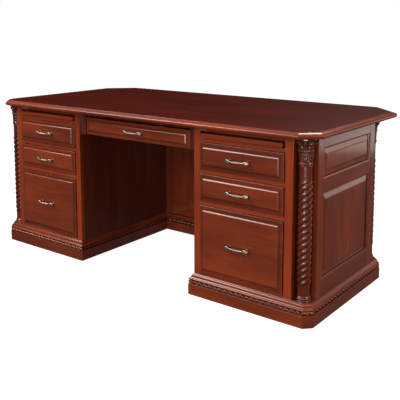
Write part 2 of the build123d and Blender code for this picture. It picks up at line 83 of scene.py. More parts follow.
def skin(rings, along, glaze_and_shade=0.0, loop=False, mitred=False):
    """Quads between neighbouring rings of points; flat ends, or a closed loop of rings.

    The glaze and shade (settled glaze plus painted shade) is one number, one for each ring, or one for each
    point. Mitred rings keep a crisp line from ring to ring at every corner.
    """
    rings = np.asarray(rings, float)
    count, size = rings.shape[:2]
    index = np.arange(count * size).reshape(count, size)
    here, there = (index, np.roll(index, -1, 0)) if loop else (index[:-1], index[1:])
    quads = np.stack([here, np.roll(here, -1, 1), np.roll(there, -1, 1), there], -1).reshape(-1, 4)
    ends = [] if loop else [index[0][::-1].tolist(), index[-1].tolist()]
    points = rings.reshape(-1, 3)
    # six times the enclosed volume: negative when the rings were wound inside out
    a, b, c, d = (points[quads[:, k]] for k in range(4))
    volume = (a * np.cross(b, c)).sum() + (a * np.cross(c, d)).sum()
    for end in ends:
        fan = points[end]
        volume += (fan[0] * np.cross(fan[1:-1], fan[2:])).sum()
    faces = quads.tolist() + ends
    if volume < 0:
        faces = [face[::-1] for face in faces]
    glaze_and_shade = np.asarray(glaze_and_shade, float)
    level = glaze_and_shade if glaze_and_shade.ndim == 2 else np.broadcast_to(glaze_and_shade.reshape(-1, 1), (count, size))
    crisp = np.stack([index[:-1].ravel(), index[1:].ravel()], 1) if mitred else np.zeros((0, 2), int)
    return {"points": points, "faces": faces, "grain": grain_of(points, along), "glaze_and_shade": level.ravel(),
            "crisp": crisp}


def build(name, skins, body, stands_for, angle=35):
    """Join the skins into one mesh, and say what it rides on and which frame node it replaces.

    Edges stay sharp where the faces meet at more than the angle, and along every mitre.
    """
    faces, crisp, base = [], [], 0
    for part in skins:
        faces += [[corner + base for corner in face] for face in part["faces"]]
        crisp.append(part["crisp"] + base)
        base += len(part["points"])
    mesh = bpy.data.meshes.new(name)
    mesh.from_pydata(np.concatenate([s["points"] for s in skins]).tolist(), [], faces)
    grain = mesh.attributes.new("grain", "FLOAT_VECTOR", "POINT")
    grain.data.foreach_set("vector", np.concatenate([s["grain"] for s in skins]).ravel())
    # one darkening number per point: settled glaze, and painted shade in grooves, creases and under edges
    glaze_and_shade = mesh.attributes.new("glaze_and_shade", "FLOAT", "POINT")
    glaze_and_shade.data.foreach_set("value", np.concatenate([s["glaze_and_shade"] for s in skins]))
    mesh.polygons.foreach_set("use_smooth", np.ones(len(mesh.polygons), bool))
    mesh.set_sharp_from_angle(angle=math.radians(angle))
    ends, sharp = np.zeros(2 * len(mesh.edges), int), np.zeros(len(mesh.edges), bool)
    mesh.edges.foreach_get("vertices", ends)
    mesh.edges.foreach_get("use_edge_sharp", sharp)
    edges, lines = np.sort(ends.reshape(-1, 2)), np.sort(np.concatenate(crisp))
    sharp |= np.isin(edges @ (base, 1), lines @ (base, 1))
    mesh.edges.foreach_set("use_edge_sharp", sharp)
    piece = bpy.data.objects.new(name, mesh)
    bpy.context.scene.collection.objects.link(piece)
    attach(piece, body)
    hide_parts(stands_for)
    keep_flat = piece.modifiers.new("flat_faces", "WEIGHTED_NORMAL")
    keep_flat.keep_sharp = True
    return piece


print("grain seed:", GRAIN_SEED, "and lengths in steps of", MM, "m")

# %% [markdown]
# Eased boards
#
# A real board never ends in a knife edge: the maker runs a plane along every arris. That tiny rounding is
# what catches the light, so each plain board is carried along its length as a rounded rectangle, and its
# ends are rounded the same way.

# %% A board with eased edges
AXES = {"x": 0, "y": 1, "z": 2}
EASE = 1.2 * MM


def board(low, high, along, ease=EASE, steps=3):
    """A rounded rectangle carried along the fibres; near each end it shrinks on a quarter circle."""
    low, high = np.minimum(low, high), np.maximum(low, high)
    k = AXES[along]
    i, j = (k + 1) % 3, (k + 2) % 3
    middle, half = (low + high) / 2, (high - low) / 2
    turn = np.linspace(0, math.pi / 2, steps)
    inset = ease * (1 - np.sin(turn))
    run = ease * (1 - np.cos(turn))
    insets = np.concatenate([inset, inset[::-1]])
    places = np.concatenate([low[k] + run, high[k] - run[::-1]])
    corner = np.repeat(np.arange(4), steps)
    sweep = corner * math.pi / 2 + np.tile(turn, 4)
    sign_i, sign_j = np.array([1, -1, -1, 1])[corner], np.array([1, 1, -1, -1])[corner]
    rings = np.zeros((len(insets), 4 * steps, 3))
    rings[..., i] = middle[i] + sign_i * (half[i] - ease) + (ease - insets)[:, None] * np.cos(sweep)
    rings[..., j] = middle[j] + sign_j * (half[j] - ease) + (ease - insets)[:, None] * np.sin(sweep)
    rings[..., k] = places[:, None]
    way = np.zeros(3)
    way[k] = 1
    return skin(rings, way)


def board_of(node, along, ease=EASE):
    """An eased board that fills a one-board node's own box."""
    return board(*map(np.array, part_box(node)), along, ease)


print("boards are eased by", EASE, "m along", ", ".join(AXES))

# %% [markdown]
# Mitred outlines
#
# The plinth, its rope bead, the edge of the top and the raised panels all turn corners on a mitre. On a
# mitre each corner moves inwards along one fixed line, so a whole profile can be placed by sliding the
# corner along that line by the profile's depth.

# %% Mitre lines and slabs with a moulded rim
def mitres(outline):
    """For each corner of a counter-clockwise outline, how far it moves for a unit inset."""
    before = outline - np.roll(outline, 1, 0)
    after = np.roll(outline, -1, 0) - outline
    n1 = np.stack([-before[:, 1], before[:, 0]], 1) / np.linalg.norm(before, axis=1)[:, None]
    n2 = np.stack([-after[:, 1], after[:, 0]], 1) / np.linalg.norm(after, axis=1)[:, None]
    return (n1 + n2) / (1 + (n1 * n2).sum(1))[:, None]


def moulded_slab(outline, profile, origin, right, up, along, glaze_and_shade=0.0):
    """The outline shrinks by each profile inset and rises by its height, from the back to the field."""
    outline = np.asarray(outline, float)
    profile = np.asarray(profile, float)
    flat = outline[None] + mitres(outline)[None] * profile[:, :1, None]
    right, up = np.asarray(right, float), np.asarray(up, float)
    out = np.cross(right, up)
    rings = (np.asarray(origin, float) + flat[..., :1] * right + flat[..., 1:] * up
             + profile[:, 1][:, None, None] * out)
    return skin(rings, along, glaze_and_shade, mitred=True)


def arc(centre, radius, start, end, count):
    """Points on a circle, as (inset, height) pairs, between two angles in degrees."""
    turn = np.radians(np.linspace(start, end, count))
    return np.stack([centre[0] + radius * np.cos(turn), centre[1] + radius * np.sin(turn)], 1)


print("a square corner moves by", mitres(np.array([(0, 0), (1, 0), (1, 1), (0, 1)]))[0], "for a unit inset")

# %% [markdown]
# Wood and polish
#
# Cherry has fine, even fibres with soft darker bands where the growth rings run out at the surface. The stain is
# a deep red-brown, brushed over with a darker glaze that stays in the hollows, and the top coat is a clear
# lacquer. The same dark tone also paints shade into grooves, creases and under edges. Rings come from a wave
# around the tree's heart, bent a little; fine fibres come from noise stretched some seventy times along the
# board; the lacquer is the shader's coat.

# %% Node helpers
def linear(red, green, blue):
    """Screen colour, 0 to 255, to the linear light a shader works in."""
    c = np.array([red, green, blue]) / 255
    return tuple(np.where(c <= 0.04045, c / 12.92, ((c + 0.055) / 1.055) ** 2.4)) + (1.0,)


def new_material(name):
    """An empty material with its surface shader, and short ways to add and join nodes."""
    material = bpy.data.materials.new(name)
    material.use_nodes = True
    tree = material.node_tree
    shader = tree.nodes["Principled BSDF"]

    def add(kind, **settings):
        """A new node of one kind; a setting starting with a capital letter is one of its sockets."""
        node = tree.nodes.new(kind)
        for key, value in settings.items():
            if key[0].isupper():
                node.inputs[key.replace("_", " ")].default_value = value
            else:
                setattr(node, key, value)
        return node

    def join(source, output, target, socket):
        """A link from one node's output to another node's socket."""
        tree.links.new(source.outputs[output], target.inputs[socket])

    return material, shader, add, join


print("half-bright grey is", round(float(linear(128, 128, 128)[0]), 3), "in linear light")

# %% Stained and lacquered wood
LACQUER_ROUGH, LACQUER_IOR, STAINED_IOR = 0.13, 1.55, 1.35
# the dark tone for glaze in the hollows and for painted shade in grooves, creases and under edges
GLAZE_AND_SHADE_TONE = (30, 9, 6)


def wood(name, tones, coat, rough, from_object=None, ring=34.0, glaze_and_shade_tone=GLAZE_AND_SHADE_TONE):
    """Growth rings, broad clouds and fine fibres mixed into one tone, then darkened by glaze and painted shade,
    and lacquered.

    The three tones run from dark to light. Boards built here read their own grain attribute; the others
    read object coordinates, turned by from_object so that X runs along their fibres.
    """
    material, shader, add, join = new_material(name)
    if from_object is None:
        source = add("ShaderNodeAttribute", attribute_name="grain")
    else:
        source = add("ShaderNodeMapping", Rotation=from_object)
        join(add("ShaderNodeTexCoord"), "Object", source, "Vector")
    tilt = add("ShaderNodeMapping", Rotation=(0.0, 0.035, 0.05), Scale=(0.35, 1.0, 1.0))
    join(source, "Vector", tilt, "Vector")
    rings = add("ShaderNodeTexWave", wave_type="RINGS", rings_direction="X", wave_profile="SAW", Scale=ring,
                Distortion=3.2, Detail=3.0, Detail_Scale=0.6, Detail_Roughness=0.6)
    join(tilt, "Vector", rings, "Vector")

    def stretched(scale, detail, size, roughness=0.55):
        """Noise squeezed across the fibres and drawn out along them by the given size."""
        spread = add("ShaderNodeMapping", Scale=size)
        join(source, "Vector", spread, "Vector")
        noise = add("ShaderNodeTexNoise", Scale=scale, Detail=detail, Roughness=roughness)
        join(spread, "Vector", noise, "Vector")
        return noise

    clouds = stretched(2.2, 4.0, (0.8, 4.0, 4.0))
    streaks = stretched(9.0, 5.0, (0.45, 9.0, 9.0), 0.65)
    fibres = stretched(60.0, 3.0, (0.12, 9.0, 9.0), 0.7)

    def blend(first, first_out, second, second_out, share):
        """The first number, with a share of the second mixed in."""
        mix = add("ShaderNodeMix", data_type="FLOAT", Factor=share)
        join(first, first_out, mix, 2)
        join(second, second_out, mix, 3)
        return mix

    tone = blend(clouds, "Fac", rings, "Fac", 0.12)
    tone = blend(tone, 0, streaks, "Fac", 0.3)
    tone = blend(tone, 0, fibres, "Fac", 0.16)
    ramp = add("ShaderNodeValToRGB")
    stops = ramp.color_ramp.elements
    stops[0].position, stops[1].position = 0.34, 0.66
    stops.new(0.5)
    for stop, colour in zip(stops, tones):
        stop.color = linear(*colour)
    join(tone, 0, ramp, "Fac")
    # darker where the glaze-and-shade number is high: glaze in the hollows and painted shade
    glaze_and_shade_level = add("ShaderNodeAttribute", attribute_name="glaze_and_shade")
    glazed_and_shaded = add("ShaderNodeMix", data_type="RGBA")
    glazed_and_shaded.inputs[7].default_value = linear(*glaze_and_shade_tone)
    join(glaze_and_shade_level, "Fac", glazed_and_shaded, 0)
    join(ramp, "Color", glazed_and_shaded, 6)
    join(glazed_and_shaded, 2, shader, "Base Color")
    gloss = add("ShaderNodeMapRange", To_Min=rough[0], To_Max=rough[1])
    join(streaks, "Fac", gloss, "Value")
    join(gloss, "Result", shader, "Roughness")
    bump = add("ShaderNodeBump", Strength=0.12, Distance=0.4 * MM)
    join(fibres, "Fac", bump, "Height")
    join(bump, "Normal", shader, "Normal")
    shader.inputs["Coat Weight"].default_value = coat
    shader.inputs["Coat Roughness"].default_value = LACQUER_ROUGH
    shader.inputs["Coat IOR"].default_value = LACQUER_IOR
    shader.inputs["IOR"].default_value = STAINED_IOR
    return material


print("lacquer: roughness", LACQUER_ROUGH, "and index", LACQUER_IOR)

# %% Wood finishes
CHERRY = ((88, 33, 15), (124, 48, 20), (156, 62, 25))
FRAME_CHERRY = ((108, 38, 15), (142, 54, 20), (172, 68, 25))
# a darker copy of the cherry for the top's upper face: painted shade
SHADED_TOP_CHERRY = ((78, 18, 6), (103, 27, 9), (126, 35, 12))
# a darker, duller copy of the cherry for boards standing in the kneehole, the column pockets and the centre
# drawer frame: painted shade
SHADED_INNER_CHERRY = ((66, 25, 15), (88, 35, 21), (112, 46, 27))
BOX_MAPLE = ((176, 138, 96), (199, 163, 118), (216, 184, 140))
PLAIN_MAPLE = ((150, 112, 74), (172, 133, 92), (190, 152, 108))
STANDING, ALONG_X, ALONG_Y = (0, math.pi / 2, 0), (0, 0, 0), (0, 0, math.pi / 2)
cherry = wood("dark_cherry", CHERRY, coat=1.0, rough=(0.3, 0.4))
cherry_frame = wood("dark_cherry_frame", FRAME_CHERRY, coat=1.0, rough=(0.3, 0.4))
shaded_top_cherry = wood("dark_cherry_polished_painted_shade", SHADED_TOP_CHERRY, coat=0.6, rough=(0.3, 0.38), ring=26.0)
maple = wood("drawer_maple", BOX_MAPLE, coat=0.15, rough=(0.42, 0.52), glaze_and_shade_tone=(120, 84, 50))
upright_maple = wood("plain_maple_upright", PLAIN_MAPLE, coat=0.0, rough=(0.5, 0.62), from_object=STANDING)
cherry_level = wood("dark_cherry_level", CHERRY, coat=0.4, rough=(0.34, 0.44), from_object=ALONG_X)
level_maple = wood("plain_maple_level", PLAIN_MAPLE, coat=0.0, rough=(0.5, 0.62), from_object=ALONG_Y)
shaded_cherry_upright = wood("dark_cherry_upright_painted_shade", SHADED_INNER_CHERRY, coat=0.3, rough=(0.34, 0.44), from_object=STANDING)
print("wood finishes:", len(bpy.data.materials))


# %% [markdown]
# Metals
#
# The pulls are cast pewter, antiqued: dark in the hollows, rubbed bright where a hand would touch. The
# runners are bright zinc-plated steel with the faint streaks of rolled sheet.

# %% Metal finishes
TARNISH = 0.35


def metal(name, dark, light, rough, grainy, stretch=(1, 1, 1)):
    """A metal whose tone and gloss wander a little, darker where the glaze-and-shade number (patina and painted
    shade) is high.
    """
    material, shader, add, join = new_material(name)
    spread = add("ShaderNodeMapping", Scale=stretch)
    join(add("ShaderNodeTexCoord"), "Object", spread, "Vector")
    noise = add("ShaderNodeTexNoise", Scale=grainy, Detail=4.0, Roughness=0.6)
    join(spread, "Vector", noise, "Vector")
    tone = add("ShaderNodeMix", data_type="RGBA")
    tone.inputs[6].default_value, tone.inputs[7].default_value = linear(*light), linear(*dark)
    # darker where the glaze-and-shade number is high: patina in the hollows and painted shade
    glaze_and_shade_level = add("ShaderNodeAttribute", attribute_name="glaze_and_shade")
    total = add("ShaderNodeMath", operation="MULTIPLY_ADD")
    total.inputs[1].default_value = TARNISH
    join(noise, "Fac", total, 0)
    join(glaze_and_shade_level, "Fac", total, 2)
    join(total, 0, tone, 0)
    join(tone, 2, shader, "Base Color")
    gloss = add("ShaderNodeMapRange", To_Min=rough[0], To_Max=rough[1])
    join(noise, "Fac", gloss, "Value")
    join(gloss, "Result", shader, "Roughness")
    shader.inputs["Metallic"].default_value = 1.0
    return material


pewter = metal("antique_pewter", (44, 36, 29), (226, 212, 194), (0.34, 0.5), 160.0)
zinc = metal("zinc_plated_steel", (120, 123, 126), (196, 198, 200), (0.28, 0.45), 30.0, (1, 0.05, 1))
print("finishes so far:", len(bpy.data.materials))

# %% [markdown]
# The top
#
# The top is one octagonal slab. Its rim is moulded: a small step down from the field, a long soft swell,
# a rounded nose, and a slope back to a softened lower edge that lightens it against the case. We walk that
# profile from the underside, round the nose, to the field.

# %% Desk top
def outline_of(x, y, front, back):
    """A rectangle whose front and back corners are cut, counter-clockwise."""
    return np.array([
        (-x + front, -y), (x - front, -y), (x, -y + front), (x, y - back),
        (x - back, y), (-x + back, y), (-x, y - back), (-x, -y + front),
    ])


top_low, top_high = map(np.array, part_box("desk_top"))
FRONT_CLIP, BACK_CLIP = 70 * MM, 137 * MM
LOWER_ROUND, NOSE = 3.5 * MM, 6.2 * MM
TOP_RIM = 24 * MM
under = top_low[2] - top_high[2]
swell = np.stack([np.linspace(2.2, 21, 9),
                  -7.6 + 6.2 * np.sin(np.linspace(0, math.pi / 2, 9)) ** 0.9], 1) * MM
top_profile = np.concatenate([
    [(9 * MM, under)], [(6 * MM, under)],
    arc((6 * MM, under + LOWER_ROUND), LOWER_ROUND, -90, -160, 4),
    arc((NOSE, -13.6 * MM), NOSE, 215, 122, 9),
    swell,
    [(22.2 * MM, -1.3 * MM), (23.0 * MM, -0.3 * MM), (TOP_RIM, 0.0)],
])
# darker under the slab, round its lower edge and in the step to the field: painted shade, with some glaze
top_glaze_and_shade = np.interp(np.arange(len(top_profile)), [0, 5, 6, 14, 24, 25, 27],
                      [0.5, 0.35, 0.1, 0, 0, 0.3, 0])
slab = moulded_slab(outline_of(top_high[0], top_high[1], FRONT_CLIP, BACK_CLIP), top_profile,
                    (0, 0, top_high[2]), (1, 0, 0), (0, 1, 0), (1, 0, 0), top_glaze_and_shade)
desk_top = build("top_slab", [slab], "desk", "desk_top", angle=40)
desk_top.data.materials.append(cherry_frame)
desk_top.data.materials.append(shaded_top_cherry)
heights = np.array([face.center.z for face in desk_top.data.polygons])
# the flat upper face takes the darker cherry copy as painted shade; the moulded rim keeps the frame cherry
desk_top.data.polygons.foreach_set("material_index", (heights > top_high[2] - 0.01 * MM).astype(int))
print("top:", np.round(top_high - top_low, 4), "profile points:", len(top_profile))


# %% [markdown]
# Drawer fronts
#
# Each front is one thick board: a narrow flat lip, a shallow slope, and then a sharp little step up to a
# flat field. That step faces the light along its top and its right-hand side and draws the bright line
# that frames every drawer.

# %% Drawer fronts
FRONT_SLOPE = 20 * MM
STEP_WIDE, STEP_TALL = 7.2 * MM, 5.2 * MM
LIP_DEEP, LIP_ROUND = 9.6 * MM, 2 * MM


def raised_front(node):
    """Rectangle rings from the back, over the lip and slope, up the step and onto the field.

    The step is a run of short chords whose tilt falls from steep to gentle.
    """
    low, high = map(np.array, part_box(node))
    width, height, thick = high[0] - low[0], high[2] - low[2], high[1] - low[1]
    x, z = width / 2, height / 2
    tilt = np.radians(np.linspace(54, 26, 7))
    path = np.concatenate([[(0, 0)], np.cumsum(np.stack([np.cos(tilt), np.sin(tilt)], 1), 0)])
    path = path / path[-1] * (STEP_WIDE, STEP_TALL)
    shoulder = path + (FRONT_SLOPE - 2.6 * MM, thick - 5.3 * MM)
    profile = np.concatenate([
        [(0.8 * MM, 0)], [(0, 0.8 * MM)], [(0, thick - 9 * MM)],
        arc((LIP_ROUND, thick - LIP_DEEP), LIP_ROUND, 180, 100, 5),
        [(FRONT_SLOPE - 3.4 * MM, thick - 5.8 * MM)],
        [(FRONT_SLOPE - 2.8 * MM, thick - 5.6 * MM)],
        shoulder,
        [(FRONT_SLOPE + 5.6 * MM, thick)],
    ])
    # dark on the back, the outer edges and the lip, and at the foot of the step: painted shade where the front
    # stands proud and in the crease, with some glaze
    glaze_and_shade = np.zeros(len(profile))
    glaze_and_shade[:6] = (1, 1, 1, 0.9, 0.7, 0.4)
    glaze_and_shade[8:11] = (0.5, 0.85, 0.3)
    return moulded_slab([(-x, -z), (x, -z), (x, z), (-x, z)], profile,
                        ((low[0] + high[0]) / 2, high[1], (low[2] + high[2]) / 2),
                        (1, 0, 0), (0, 0, 1), (1, 0, 0), glaze_and_shade)


DRAWERS = [f"{side}_{kind}_drawer" for side in ("left", "right") for kind in ("file", "middle", "top")]
DRAWERS.append("centre_drawer")
for drawer in DRAWERS:
    front = build(f"{drawer}_raised_front", [raised_front(f"{drawer}_front")], drawer,
                  f"{drawer}_front")
    front.data.materials.append(cherry)
print("drawer fronts:", len(DRAWERS))


# %% [markdown]
# Case boards
#
# The stiles stand, the rails lie between them. A groove in a frame is hidden by its panel, so a plain
# eased board is enough, but the edges that meet a panel carry a small moulding, called the sticking.

# %% Face frame
def span(node, k):
    """The lowest and highest coordinate of a node along one axis."""
    low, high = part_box(node)
    return low[k], high[k]


case_low, case_high = span("front_stiles", 2)
face_front, face_back = span("front_stiles", 1)
knee = span("right_kneehole_side", 0)[0]
notch = span("front_stiles", 0)[1]
front_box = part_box("right_top_drawer_front")
REVEAL = 1.5 * MM
opening = (front_box[0][0] - REVEAL, front_box[1][0] + REVEAL)
stiles = []
for side in (-1, 1):
    for x in ((knee, opening[0]), (opening[1], notch)):
        stiles.append(board(np.array([side * x[0], face_front, case_low]),
                            np.array([side * x[1], face_back, case_high]), "z"))
levels = [case_low]
for kind in ("file", "middle", "top"):
    low, high = span(f"right_{kind}_drawer_front", 2)
    levels += [low - REVEAL, high + REVEAL]
write_low, write_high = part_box("right_writing_board")
BELOW_SLIDE, ABOVE_SLIDE = 1.6 * MM, 2.9 * MM
levels.append(write_low[2] - BELOW_SLIDE)
BOARD = face_back - face_front
rails = []
for side in (-1, 1):
    ends = np.array([side * opening[0], side * opening[1]])
    for low, high in zip(levels[0::2], levels[1::2]):
        rails.append(board(np.array([ends[0], face_front, low]), np.array([ends[1], face_back, high]), "x"))
    rails.append(board(np.array([ends[0], face_back, write_high[2] + ABOVE_SLIDE]),
                       np.array([ends[1], face_back + BOARD, case_high]), "x"))
for name, skins, node in (("face_stiles", stiles, "front_stiles"), ("face_rails", rails, "front_rails")):
    build(name, skins, "desk", node).data.materials.append(cherry_frame)
print("face frame:", len(stiles), "stiles,", len(rails), "rails")


# %% [markdown]
# Sticking and raised panels
#
# Both ends and the back are frames with two rows of panels. The sticking is a little quarter round carried
# about each opening as a closed loop. A raised panel hides its tongue in the frame, climbs a wide, faintly
# hollow bevel, and ends in a small step to the flat field. The step and the bevel's top catch the light.

# %% Sticking and raised panels
RAIL_FOOT, MID_LOW, MID_HIGH, TOP_RAIL = 159 * MM, 504 * MM, 560 * MM, 680 * MM
RAILS = [(case_low, RAIL_FOOT), (MID_LOW, MID_HIGH), (TOP_RAIL, case_high)]
PANELS = [(RAIL_FOOT, MID_LOW), (MID_HIGH, TOP_RAIL)]
STICKING, STICKING_DEEP, FILLET = 7 * MM, 8 * MM, 0.6 * MM
TONGUE, BEVEL, FIELD_IN, FIELD_STEP = 8 * MM, 27 * MM, 39.6 * MM, 1.8 * MM


def sticking(across, z, face, right, out):
    """A small ovolo carried round the opening: a quarter round with a fillet, mitred at the corners."""
    x, y = (across[1] - across[0]) / 2, (z[1] - z[0]) / 2
    outline = np.array([(-x, -y), (x, -y), (x, y), (-x, y)])
    section = np.concatenate([
        [(-1.0 * MM, -STICKING_DEEP)], [(-1.0 * MM, -FILLET)],
        arc((0, -STICKING), STICKING - FILLET, 90, 14, 7), [(STICKING, -STICKING_DEEP)],
    ])
    flat = outline[:, None] + mitres(outline)[:, None] * section[None, :, :1]
    right, out = np.asarray(right, float), np.asarray(out, float)
    centre = right * (across[0] + across[1]) / 2 + out * face
    centre[2] = (z[0] + z[1]) / 2
    rings = (centre + flat[..., :1] * right + flat[..., 1:] * np.array([0, 0, 1.0])
             + section[None, :, 1, None] * out)
    # dark at the back and at the foot where the sticking meets the panel: painted shade in the crease, with some
    # glaze
    glaze_and_shade = np.broadcast_to(np.interp(np.arange(len(section)), [0, 2, 7, 9], [0.4, 0, 0.1, 0.8]),
                            (4, len(section)))
    return skin(rings, right, glaze_and_shade, loop=True)


def raised_panel(across, z, back, thick, right, out, along):
    """Rings from the tongue up a hollow bevel and a small step to the flat field."""
    x, y = (across[1] - across[0]) / 2 + TONGUE, (z[1] - z[0]) / 2 + TONGUE
    hollow = np.linspace(0, 1, 7)
    rise = thick - 2.0 * MM - TONGUE
    profile = np.concatenate([
        [(0, 0)], [(0, TONGUE)], [(TONGUE + 1 * MM, TONGUE)],
        np.stack([TONGUE + 2 * MM + hollow * BEVEL, TONGUE + rise * (0.8 * hollow + 0.2 * hollow ** 2)], 1),
        arc((FIELD_IN, thick - FIELD_STEP), FIELD_STEP, 175, 90, 5),
    ])
    # dark on the tongue and the foot of the bevel, and at the foot of the step: painted shadow in the groove and
    # crease, with some glaze
    glaze_and_shade = np.zeros(len(profile))
    glaze_and_shade[1:6] = (0.9, 0.9, 0.9, 0.8, 0.25)
    glaze_and_shade[9:11] = (0.75, 0.5)
    right, out = np.asarray(right, float), np.asarray(out, float)
    origin = right * (across[0] + across[1]) / 2 + out * back
    origin[2] = (z[0] + z[1]) / 2
    outline = [(-x, -y), (x, -y), (x, y), (-x, y)]
    up = (0, 0, 1.0) if np.cross(right, (0, 0, 1.0)) @ out > 0 else (0, 0, -1.0)
    return moulded_slab(outline, profile, origin, right, up, along, glaze_and_shade)


print("panel rows:", np.round(PANELS, 3).tolist())

# %% Framed ends
for side, way in (("left", -1), ("right", 1)):
    low, high = map(np.array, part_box(f"{side}_side_frame"))
    panel_low, panel_high = map(np.array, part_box(f"{side}_side_panels"))
    across = (panel_low[1] + TONGUE, panel_high[1] - TONGUE)
    face, inner = (high[0], low[0]) if way > 0 else (low[0], high[0])
    frame_skins = [
        board(np.array([inner, low[1], case_low]), np.array([face, across[0], case_high]), "z"),
        board(np.array([inner, across[1], case_low]), np.array([face, high[1], case_high]), "z"),
    ]
    for z in RAILS:
        frame_skins.append(board(np.array([inner, across[0], z[0]]),
                                 np.array([face, across[1], z[1]]), "y"))
    for z in PANELS:
        frame_skins.append(sticking(across, z, abs(face), (0, 1, 0), (way, 0, 0)))
    build(f"{side}_side_framing", frame_skins, "desk", f"{side}_side_frame").data.materials.append(cherry)
    back = min(abs(panel_low[0]), abs(panel_high[0]))
    panel_skins = [raised_panel(across, z, back, panel_high[0] - panel_low[0], (0, 1, 0), (way, 0, 0),
                                (0, 0, 1)) for z in PANELS]
    build(f"{side}_raised_side_panels", panel_skins, "desk", f"{side}_side_panels").data.materials.append(cherry)
print("each end:", len(frame_skins), "skins in the frame,", len(panel_skins), "panels")

# %% Framed back
back_low, back_high = map(np.array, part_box("back_frame"))
BACK_STILE = 50 * MM
edges = np.array([-notch + BACK_STILE, -knee - BACK_STILE, -knee + BACK_STILE, -BACK_STILE / 2,
                  BACK_STILE / 2, knee - BACK_STILE, knee + BACK_STILE, notch - BACK_STILE])
bays = list(zip(edges[0::2], edges[1::2]))
posts = [(-notch, edges[0])] + list(zip(edges[1:-1:2], edges[2::2])) + [(edges[-1], notch)]
back_skins = [board(np.array([a, back_low[1], case_low]), np.array([b, back_high[1], case_high]), "z")
              for a, b in posts]
panel_low, panel_high = map(np.array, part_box("back_panels"))
back_panel_skins = []
for bay in bays:
    for z in RAILS:
        back_skins.append(board(np.array([bay[0], back_low[1], z[0]]),
                                np.array([bay[1], back_high[1], z[1]]), "x"))
    for z in PANELS:
        back_skins.append(sticking(bay, z, back_high[1], (1, 0, 0), (0, 1, 0)))
        back_panel_skins.append(raised_panel(bay, z, panel_low[1], panel_high[1] - panel_low[1],
                                             (1, 0, 0), (0, 1, 0), (0, 0, 1)))
build("back_framing", back_skins, "desk", "back_frame").data.materials.append(cherry)
build("raised_back_panels", back_panel_skins, "desk", "back_panels").data.materials.append(cherry)
print("back:", len(back_skins), "skins in the frame,", len(back_panel_skins), "panels")


# %% [markdown]
# The plinth
#
# Everything stands on one moulded base. Its section has three parts: a flat board on the floor, a rope
# bead, and a cap that falls back to the case in an ogee. Each edge of the plan carries its own length,
# cut on the mitre at both ends.

# %% Plinth outline
base_low, base_high = map(np.array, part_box("plinth_boards"))
CLIP, KNEE_BACK, PLINTH_OUT = 31 * MM, 197.5 * MM, 18.5 * MM
MITRE_GAP = 0.05 * MM
knee_gap = knee - PLINTH_OUT
right_plan = [(knee_gap, base_low[1]), (base_high[0] - CLIP, base_low[1]),
              (base_high[0], base_low[1] + CLIP), (base_high[0], base_high[1] - CLIP),
              (base_high[0] - CLIP, base_high[1])]
plan = np.array(right_plan + [(-x, y) for x, y in right_plan[::-1]]
                + [(-knee_gap, KNEE_BACK), (knee_gap, KNEE_BACK)])
plan_mitres = mitres(plan)


def runs(section, glaze_and_shade):
    """The (inset, height) section carried along every edge of the plan, from mitre to mitre."""
    section = np.asarray(section, float)
    skins = []
    for i, start in enumerate(plan):
        j = (i + 1) % len(plan)
        way = (plan[j] - start) / np.linalg.norm(plan[j] - start)
        rings = np.zeros((2, len(section), 3))
        gap = MITRE_GAP * way
        rings[0, :, :2] = start + gap + plan_mitres[i] * section[:, :1]
        rings[1, :, :2] = plan[j] - gap + plan_mitres[j] * section[:, :1]
        rings[..., 2] = section[:, 1]
        skins.append(skin(rings, (*way, 0), np.broadcast_to(glaze_and_shade, (2, len(section)))))
    return skins


print("plinth:", len(plan), "edges")

# %% Foot board and ogee cap
foot = np.concatenate([
    [(20, 0.0)], [(20, 67)], [(9.2, 67)], [(9.2, 49.6)], [(1.6, 49.4)],
    arc((1.4, 48.0), 1.4, 90, 180, 4), [(0, 1.2)], [(1.0, 0.0)],
]) * MM
# dark on the face behind the rope and under the cap: painted shade
foot_glaze_and_shade = [0, 0, 0.9, 0.9, 0.3, 0, 0, 0, 0, 0, 0]
build("plinth_base", runs(foot, foot_glaze_and_shade), "desk", "plinth_boards").data.materials.append(cherry)
ogee = np.linspace(0, 1, 15)
cap = np.concatenate([
    [(28.5, 67.0)], [(28.5, 92)], [(18.4, 92)], [(17.6, 91.4)],
    np.stack([17.0 - 14.6 * ogee - 1.5 * np.sin(ogee * 2 * math.pi), 90.4 - 17.6 * ogee
              + 0.4 * np.sin(ogee * 2 * math.pi)], 1),
    arc((2.9, 70.6), 1.9, 120, 180, 4), [(1.0, 68.0)], [(1.8, 67.0)],
]) * MM
# dark where the cap meets the case and along its underside: painted shade and shadow line, with some glaze
cap_glaze_and_shade = np.zeros(len(cap))
cap_glaze_and_shade[[2, 3, 4]] = 0.5
cap_glaze_and_shade[-2:] = 0.6
build("plinth_cap_ogee", runs(cap, cap_glaze_and_shade), "desk", "plinth_cap").data.materials.append(cherry)
print("plinth profiles: foot points", len(foot), "cap points", len(cap))

# %% [markdown]
# The rope
#
# A rope bead is a half round cut by slanting grooves. Going round the half circle, each groove shifts
# along the bead by the same amount for each step in height, and between two grooves the strand swells like
# a small cushion. So the radius is a function of two numbers: how far along, and how far round.

# %% Rope bead
ROPE_PITCH, ROPE_LEAN = 26 * MM, 12 * MM
ROPE_MIDDLE, ROPE_RADIUS, ROPE_BACK = 58 * MM, 8.9 * MM, 9.2 * MM
STRAND_ROWS = 14


def strand(phase):
    """Height of a rope strand between two grooves: (1 - u^2) ^ 1.1, with u from -1 to 1 across it."""
    u = 2 * (phase - np.floor(phase)) - 1
    return (1 - 0.97 * u ** 2) ** 1.1


